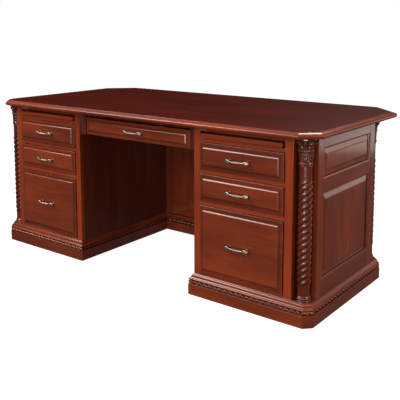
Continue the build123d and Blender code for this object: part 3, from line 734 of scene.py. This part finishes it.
def rope_run(start, end, mitre_start, mitre_end):
    """Radius grows with the strand height at (distance along + lean x sine of the angle) / pitch."""
    length = np.linalg.norm(end - start)
    rows = max(6, int(length / ROPE_PITCH * STRAND_ROWS))
    turn = np.radians(np.linspace(-90, 90, 13))
    along = np.linspace(0, 1, rows)[:, None]
    way = (end - start) / length
    seat = ROPE_BACK - ROPE_RADIUS * np.cos(turn)
    low = start + mitre_start * seat[:, None]
    high = end + mitre_end * seat[:, None]
    flat = low[None] * (1 - along[..., None]) + high[None] * along[..., None]
    distance = (flat - start) @ way
    height = strand(distance / ROPE_PITCH + np.sin(turn)[None] * ROPE_LEAN / ROPE_PITCH)
    radius = ROPE_RADIUS * (0.45 + 0.55 * height)
    inward = np.array([-way[1], way[0]])
    shift = (ROPE_BACK - radius * np.cos(turn)) - seat
    rings = np.zeros((rows, len(turn) + 1, 3))
    rings[:, :-1, :2] = flat + shift[..., None] * inward
    rings[:, :-1, 2] = ROPE_MIDDLE + radius * np.sin(turn)
    rings[:, -1, :2] = (rings[:, 0, :2] + rings[:, -2, :2]) / 2
    rings[:, -1, 2] = ROPE_MIDDLE
    glaze_and_shade = np.zeros((rows, len(turn) + 1))
    # dark in the grooves between the strands: painted shade, with some glaze
    glaze_and_shade[:, :-1] = np.clip(1.15 - 1.5 * height, 0, 1)
    return skin(rings, (*way, 0), glaze_and_shade)


rope = [rope_run(*ends) for ends in zip(plan, np.roll(plan, -1, 0), plan_mitres, np.roll(plan_mitres, -1, 0))]
rope_bead = build("plinth_rope", rope, "desk", "rope_moulding", angle=60)
rope_bead.data.materials.append(cherry)
print("rope bead:", sum(len(r["faces"]) for r in rope), "faces")


# %% [markdown]
# Corner columns
#
# Each column is turned first: foot rings, a plain neck, a long shaft, a ring, and a bell that flares under
# the top. Then the shaft is carved into four strands that wind up like a rope, and two tiers of acanthus
# leaves are carved round the bell, their tips curling out. All of it is one radius, worked out for every
# height and every angle at once.

# %% Carved leaves
TIER_LEAVES, LOBES = 8, 5


def ease_in(value, low, high):
    """A smooth step from 0 at low to 1 at high."""
    t = np.clip((value - low) / (high - low), 0, 1)
    return t * t * (3 - 2 * t)


def bead(height, middle, half, swell):
    """A half-round ring of the given half height and swell."""
    return swell * np.sqrt(np.clip(1 - ((height - middle) / half) ** 2, 0, 1))


def leaves(height, turn, start, end, shift, thick, curl):
    """Relief of one tier of leaves: a lobed outline, a midrib, side veins and a tip that curls out."""
    up = np.clip((height - start) / (end - start), 0, 1.0001)
    step = 2 * math.pi / TIER_LEAVES
    off = (turn + shift + step / 2) % step - step / 2
    lobes = 1 + 0.16 * np.sin(up * LOBES * 2 * math.pi)
    taper = np.sqrt(np.clip(1.02 - up ** 3, 0, 1)) * (0.82 + 0.18 * np.sin(up * math.pi))
    half = step * 0.5 * lobes * taper
    inside = np.clip(1 - (off / np.maximum(half, 1e-4)) ** 2, 0, 1)
    body = np.sqrt(inside) * thick * (0.55 + 0.45 * up)
    rib = -0.9 * MM * np.exp(-(off / 0.035) ** 2) * inside
    veins = 0.45 * MM * np.cos(2 * math.pi * (LOBES * up - 3.2 * np.abs(off) / step)) * inside
    tip = curl * np.exp(-((up - 0.9) / 0.1) ** 2) * np.sqrt(inside)
    return np.where((up > 0) & (up < 1), body + rib + veins + tip, 0)


print("each tier:", TIER_LEAVES, "leaves of", LOBES, "lobes")

# %% Column surface
STRANDS, LEAD, RUN_OUT = 4, 99 * MM, 16 * MM
TWIST = (146 * MM, 565 * MM)
BELL = (637 * MM, 718 * MM)
SHAFT, FOOT_OUT, ABACUS = 24.8 * MM, 3.6 * MM, 39.5 * MM
GROOVE_RADIUS, STRAND_LIFT = 21.2 * MM, 6.2 * MM
# middle height, half height and swell of each turned ring
FOOT_RINGS = np.array([(104, 4.5, 4.4), (110.5, 1.8, 1.6)]) * MM
NECK_RINGS = np.array([(621.5, 2.4, 2.4), (628.5, 4.6, 4.6), (634.8, 1.8, 2.0)]) * MM
# where each stretch starts and ends, and how many rows it takes
STRETCHES = [(92, 114, 26), (114, 146, 6), (146, 565, 300), (565, 619, 8), (619, 637, 22), (637, 726, 70)]


def column_skin(axis_x, axis_y):
    """Radius by height and angle, turned into rings round the column's axis.

    The strand phase is strands x (turns round - height / lead), so each strand winds up to the right.
    """
    rows = [np.linspace(a, b, n, endpoint=False) for a, b, n in STRETCHES]
    height = np.concatenate(rows + [[STRETCHES[-1][1]]]) * MM
    turn = np.linspace(0, 2 * math.pi, 96, endpoint=False)
    h, a = np.meshgrid(height, turn, indexing="ij")
    radius = SHAFT + FOOT_OUT * (1 - ease_in(h, 95 * MM, 99 * MM))
    for ring in FOOT_RINGS:
        radius = np.maximum(radius, SHAFT + bead(h, *ring))
    lift = strand(STRANDS * (a / (2 * math.pi) - h / LEAD))
    amount = ease_in(h, TWIST[0], TWIST[0] + RUN_OUT) * (1 - ease_in(h, TWIST[1] - RUN_OUT, TWIST[1]))
    radius = radius * (1 - amount) + amount * (GROOVE_RADIUS + STRAND_LIFT * lift)
    for ring in NECK_RINGS:
        radius = np.maximum(radius, SHAFT + bead(h, *ring))
    rise = np.clip((h - BELL[0]) / (BELL[1] - BELL[0]), 0, 1)
    bell = SHAFT + 1.5 * MM * rise + 8.0 * MM * rise ** 4
    low_tier = leaves(h, a, BELL[0], 682 * MM, shift=0.0, thick=3.0 * MM, curl=4.2 * MM)
    high_tier = leaves(h, a, 640 * MM, 714 * MM, shift=math.pi / TIER_LEAVES, thick=3.4 * MM, curl=5.6 * MM)
    carved = np.maximum(low_tier, high_tier)
    in_bell = h >= BELL[0]
    radius = np.where(in_bell, bell + carved, radius)
    abacus = ease_in(h, 715.5 * MM, 717.5 * MM)
    radius = radius * (1 - abacus) + abacus * ABACUS
    rings = np.stack([axis_x + radius * np.cos(a), axis_y + radius * np.sin(a), h], -1)
    # the whole column is a little darker; the strand grooves, the gaps between the leaves and a line under the
    # neck rings are darker still: painted shade
    groove = amount * np.clip(0.9 - 1.4 * lift, 0, 1)
    leaf_shade = np.where(in_bell, np.clip(0.62 - carved / (5.5 * MM), 0, 0.62) * (1 - abacus), 0)
    shade = np.maximum(groove, leaf_shade)
    rings_glaze_and_shade = 0.42 + 0.58 * np.maximum(shade, 0.5 * np.exp(-((h - 615 * MM) / (1.6 * MM)) ** 2))
    return skin(rings, (0, 0, 1), rings_glaze_and_shade)


COLUMN_X, COLUMN_IN = 849 * MM, 33 * MM
for corner in ("front_left", "front_right", "back_left", "back_right"):
    side = -1 if "left" in corner else 1
    axis_y = face_front + COLUMN_IN if "front" in corner else back_high[1] - COLUMN_IN
    turned = column_skin(side * COLUMN_X, axis_y)
    low, high = map(np.array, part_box(f"{corner}_column"))
    turned["points"] = np.clip(turned["points"], low, high)
    column = build(f"{corner}_rope_column", [turned], "desk", f"{corner}_column",
                   angle=60)
    column.data.materials.append(cherry)
print("columns: 4, points each", len(column.data.vertices))


# %% [markdown]
# Pulls
#
# The pulls are cast: two small posts on rosettes carry a bar that is slim and twisted in the middle and
# swells at both ends into a leaf that curls back towards the drawer.

# %% Pull surfaces
POST_APART = 42 * MM
# radius and distance from the drawer's face, rosette first
POST = np.array([(7.3, 0.0), (7.4, 0.9), (6.6, 2.0), (4.6, 2.6), (3.8, 4.2), (3.0, 8.0), (3.0, 13.0),
                 (3.4, 17.0), (3.4, 20.0)]) * MM
HALF_TALL = 7.4 * MM
POINT = 0.05 * MM


def turned_post(x, z, face):
    """A turning about a line towards the sitter: each (radius, distance) gives one ring."""
    turn = np.linspace(0, 2 * math.pi, 24, endpoint=False)
    rings = np.zeros((len(POST), len(turn), 3))
    rings[..., 0] = x + POST[:, :1] * np.cos(turn)
    rings[..., 2] = z + POST[:, :1] * np.sin(turn)
    rings[..., 1] = face - POST[:, 1:]
    # dark all along the post and darkest next to the bar: patina, and painted shade behind the leaf
    return skin(rings, (1, 0, 0), np.interp(POST[:, 1], [0, 3 * MM, 8 * MM], [0.6, 0.7, 0.9]))


def pull_bar(x, z, face, half, stand):
    """Height and depth along s, from -1 to 1: a twisted middle, slim necks, a hollow leaf at each end."""
    s = np.sin(np.linspace(-math.pi / 2, math.pi / 2, 170))
    turn = np.linspace(0, 2 * math.pi, 32, endpoint=False)
    size = np.abs(s)
    leaf = np.sqrt(np.clip(1 - ((size - 0.77) / 0.23) ** 2, 0, 1))
    stem = (2.5 + 2.0 * np.exp(-(s / 0.32) ** 4)) * (1 - ease_in(size, 0.86, 0.98))
    tall = np.maximum(stem, 6.9 * leaf) * MM + POINT
    deep = np.maximum(stem, 3.6 * leaf) * MM + POINT
    twist = 1 - ease_in(size, 0.34, 0.46)
    rope = 1 + 0.24 * twist[:, None] * np.cos(2 * turn[None] - 34 * s[:, None])
    hollow = np.clip(leaf[:, None] * np.clip(-np.cos(turn)[None], 0, 1) ** 3 * (size[:, None] > 0.54), 0, 1)
    rings = np.zeros((len(s), len(turn), 3))
    sag = (-1.4 + 1.8 * ease_in(size, 0.35, 0.8)) * MM
    reach = face - stand + 4.6 * MM + 3.0 * MM * ease_in(size, 0.72, 1.0)
    rings[..., 0] = x + half * s[:, None]
    rings[..., 1] = reach[:, None] + deep[:, None] * rope * np.cos(turn) + 1.6 * MM * hollow
    rings[..., 2] = z + sag[:, None] + tall[:, None] * rope * np.sin(turn)
    rings[..., 2] = np.clip(rings[..., 2], z - HALF_TALL, z + HALF_TALL)
    # dark in the twist's grooves and the leaf's hollow, where antique patina lies, and on the underside as
    # painted shade
    underside_shade = np.clip(-np.sin(turn)[None], 0, 1) ** 2
    shade = np.clip((1.0 - rope) * 2.4, 0, 0.8) + 0.1 * hollow + 0.5 * underside_shade
    return skin(rings, (1, 0, 0), np.clip(shade, 0, 0.95))


for drawer in DRAWERS:
    low, high = map(np.array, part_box(f"{drawer}_pull"))
    x, z = (low[0] + high[0]) / 2, (low[2] + high[2]) / 2
    half, stand = (high[0] - low[0]) / 2, high[1] - low[1]
    skins = [pull_bar(x, z, high[1], half, stand)]
    skins += [turned_post(x + way * POST_APART, z, high[1]) for way in (-1, 1)]
    pull = build(f"{drawer}_cast_pull", skins, drawer, f"{drawer}_pull", angle=50)
    pull.data.materials.append(pewter)
print("pulls:", len(DRAWERS), "of width", round(2 * half, 4))


# %% [markdown]
# Writing boards and drawer boxes
#
# The pull-out boards are plain, with a soft nose, so each is one eased board as large as its node. The boxes
# behind the fronts are pale maple: two sides, a front, a back and a thin floor, just as the frame has them.

# %% Writing boards
SLIDE_NOSE = 3.5 * MM
for side in ("left", "right"):
    slide = build(f"{side}_writing_slide", [board_of(f"{side}_writing_board", "x", SLIDE_NOSE)],
                  f"{side}_writing_board", f"{side}_writing_board")
    slide.data.materials.append(cherry_frame)
print("writing boards: nose", SLIDE_NOSE)

# %% Drawer boxes
WALL, LINE, FLOOR_UP, FLOOR_THICK = 12 * MM, 0.1 * MM, 8 * MM, 6 * MM
BOX_EASE, FLOOR_EASE = 1.6 * MM, 0.4 * MM
for drawer in DRAWERS:
    low, high = map(np.array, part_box(f"{drawer}_box"))
    x0, x1 = low[0] + WALL + LINE, high[0] - WALL - LINE
    y0, y1 = low[1] + WALL, high[1] - WALL
    base = low[2] + FLOOR_UP
    skins = [
        board(low, np.array([low[0] + WALL, high[1], high[2]]), "y", BOX_EASE),
        board(np.array([high[0] - WALL, low[1], low[2]]), high, "y", BOX_EASE),
        board(np.array([x0, low[1], low[2]]), np.array([x1, y0, high[2]]), "x", BOX_EASE),
        board(np.array([x0, y1, low[2]]), np.array([x1, high[1], high[2]]), "x", BOX_EASE),
        board(np.array([x0, y0 + LINE, base]), np.array([x1, y1 - LINE, base + FLOOR_THICK]), "y",
              FLOOR_EASE),
    ]
    box = build(f"{drawer}_maple_box", skins, drawer, f"{drawer}_box")
    box.data.materials.append(maple)
print("drawer boxes:", len(DRAWERS))

# %% [markdown]
# Boards that keep their frame shape
#
# The kneehole sides, pocket boards, cleats, guides and runners are right as they stand. They only take a finish,
# read from their own object coordinates; the kneehole sides, pocket boards and centre drawer frame take a darker
# cherry copy as painted shade.

# %% Finish the plain nodes
FINISH = {
    "left_kneehole_side": shaded_cherry_upright, "right_kneehole_side": shaded_cherry_upright,
    "corner_boards": shaded_cherry_upright, "pedestal_bottoms": cherry_level, "top_cleats": level_maple,
    "runner_supports": upright_maple, "writing_board_guides": level_maple,
    "centre_drawer_frame": shaded_cherry_upright, "top_screws": zinc, "cabinet_runners": zinc,
}
for drawer in DRAWERS:
    FINISH[f"{drawer}_runners"] = zinc
for side in ("left", "right"):
    FINISH[f"{side}_file_runner_middles"] = zinc
    FINISH[f"{side}_hanging_file_rails"] = zinc
for node, finish in FINISH.items():
    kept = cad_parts[node]
    kept.data.materials.clear()
    kept.data.materials.append(finish)
print("plain nodes finished:", len(FINISH))


# %% [markdown]
# Floor
#
# A desk like this is shown on a white sweep. A plain plane does that here. It glows a little by itself, so it
# stays pale without strong light, and it is left out of diffuse and glossy rays, so it throws no white up
# into the kneehole or onto the plinth's polish.

# %% Floor
FLOOR_HALF, FLOOR_GREY, FLOOR_GLOW = 30, 0.4, 0.93
floor_mesh = bpy.data.meshes.new("floor")
floor_corners = np.array([(-1, -1, 0), (1, -1, 0), (1, 1, 0), (-1, 1, 0)]) * FLOOR_HALF
floor_mesh.from_pydata(floor_corners.tolist(), [], [(0, 1, 2, 3)])
floor = bpy.data.objects.new("floor", floor_mesh)
bpy.context.scene.collection.objects.link(floor)
floor_paint, floor_shader, *_ = new_material("pale_floor")
floor_shader.inputs["Base Color"].default_value = (FLOOR_GREY, FLOOR_GREY, FLOOR_GREY, 1)
floor_shader.inputs["Roughness"].default_value = 1.0
floor_shader.inputs["Specular IOR Level"].default_value = 0.0
floor_shader.inputs["Emission Color"].default_value = (1, 1, 1, 1)
floor_shader.inputs["Emission Strength"].default_value = FLOOR_GLOW
floor_mesh.materials.append(floor_paint)
floor.visible_diffuse = False
floor.visible_glossy = False
print("floor:", 2 * FLOOR_HALF, "m wide")

# %% [markdown]
# Surround
#
# The camera sees a white studio, but the desk should not mirror one, or the dark polish would look chalky.
# So the world is white for camera rays only. For every other ray its strength follows the ray's height: faint
# towards the horizon and brighter overhead, like a soft ceiling.

# %% Surround
HORIZON = 0.5
# strength of the surround by height, from straight down at 0 to straight up at 1
DOWN, UP = (0.0, 0.04), (1.0, 0.3)
BETWEEN = ((0.48, 0.04), (0.52, 0.006), (0.62, 0.01), (0.8, 0.2))
world = bpy.data.worlds.new("studio")
bpy.context.scene.world = world
world.use_nodes = True
nodes, links = world.node_tree.nodes, world.node_tree.links
surround = nodes["Background"]
surround.inputs["Color"].default_value = (1, 1, 1, 1)
seen = nodes.new("ShaderNodeLightPath")
level = nodes.new("ShaderNodeMix")
level.inputs[3].default_value = 1.0
ray_way = nodes.new("ShaderNodeTexCoord")
upward = nodes.new("ShaderNodeSeparateXYZ")
glow = nodes.new("ShaderNodeFloatCurve")
curve = glow.mapping.curves[0]
for point, place in zip(curve.points, (DOWN, UP)):
    point.location = place
for x, y in BETWEEN:
    curve.points.new(x, y)
glow.mapping.update()
half_up = nodes.new("ShaderNodeMath")
half_up.operation = "MULTIPLY_ADD"
half_up.inputs[1].default_value = half_up.inputs[2].default_value = HORIZON
links.new(ray_way.outputs["Generated"], upward.inputs[0])
links.new(upward.outputs["Z"], half_up.inputs[0])
links.new(half_up.outputs[0], glow.inputs["Value"])
links.new(glow.outputs[0], level.inputs[2])
links.new(seen.outputs["Is Camera Ray"], level.inputs[0])
links.new(level.outputs[0], surround.inputs["Strength"])
print("surround curve points:", len(curve.points))

# %% [markdown]
# Lights
#
# Lacquer shows its lights as reflections, so each lamp is placed for the face that should mirror it. A key
# lamp in front fills the drawers, a warm one and a low panel serve the right end, and one behind draws the
# rim of the top. Two long strips stand where the raised drawer fronts mirror them: the left, high one gives
# the bright line along the top of each field, the right, low one gives the line down its side.

# %% Lights
WARM, AMBER = (1.0, 0.93, 0.86), (1.0, 0.9, 0.78)


def soft_light(name, place, target, size, power, tint=(1, 1, 1)):
    """A rectangular area light at one point, turned to face another."""
    lamp = bpy.data.lights.new(name, "AREA")
    lamp.shape = "RECTANGLE"
    lamp.size, lamp.size_y = size
    lamp.energy = power
    lamp.color = tint
    holder = bpy.data.objects.new(name, lamp)
    bpy.context.scene.collection.objects.link(holder)
    holder.location = place
    holder.rotation_mode = "QUATERNION"
    holder.rotation_quaternion = Vector(np.subtract(target, place)).to_track_quat("-Z", "Y")


soft_light("key", (-0.3, -3.8, 2.1), (0, -0.4, 0.4), (1.2, 1.2), 45)
soft_light("side", (4.0, 0.2, 2.9), (0.8, 0, 0.4), (1.6, 1.6), 95, AMBER)
soft_light("back", (-0.2, 3.4, 4.2), (0.0, 0.2, 0.4), (1.4, 1.4), 60)
soft_light("edge panel", (2.35, 2.6, 0.5), (0.9, -0.1, 0.5), (1.8, 0.9), 5, WARM)
soft_light("left strip", (-1.9, -2.0, 2.9), (0.0, -0.4, 0.5), (2.4, 1.4), 88, WARM)
soft_light("right strip", (1.8, -3.2, 0.35), (0.2, -0.4, 0.45), (2.4, 0.5), 34, WARM)
print("lights:", len(bpy.data.lights), "of", sum(lamp.energy for lamp in bpy.data.lights), "W in all")

# %% [markdown]
# Camera
#
# The desk is seen from the right of the sitter's side, a little above the top. The camera tilts down only
# slightly and takes the rest of the way down by a shift of the lens, so that upright edges stay nearly
# parallel.

# %% Camera
CAMERA_PLACE = (2.0164, -2.5869, 1.1529)
TILT_DOWN, TURN_LEFT = 0.1283, 0.6488
LENS, SENSOR, SHIFT = 60.16, 36, -0.23
camera_data = bpy.data.cameras.new("camera")
camera_data.lens = LENS
camera_data.sensor_width = SENSOR
camera_data.shift_y = SHIFT
camera = bpy.data.objects.new("camera", camera_data)
bpy.context.scene.collection.objects.link(camera)
camera.location = CAMERA_PLACE
camera.rotation_mode = "XYZ"
camera.rotation_euler = (math.pi / 2 - TILT_DOWN, 0, TURN_LEFT)
bpy.context.scene.camera = camera
bpy.context.scene.view_settings.view_transform = "Standard"
print("camera:", round(math.degrees(TURN_LEFT), 1), "degrees to the right of the front")
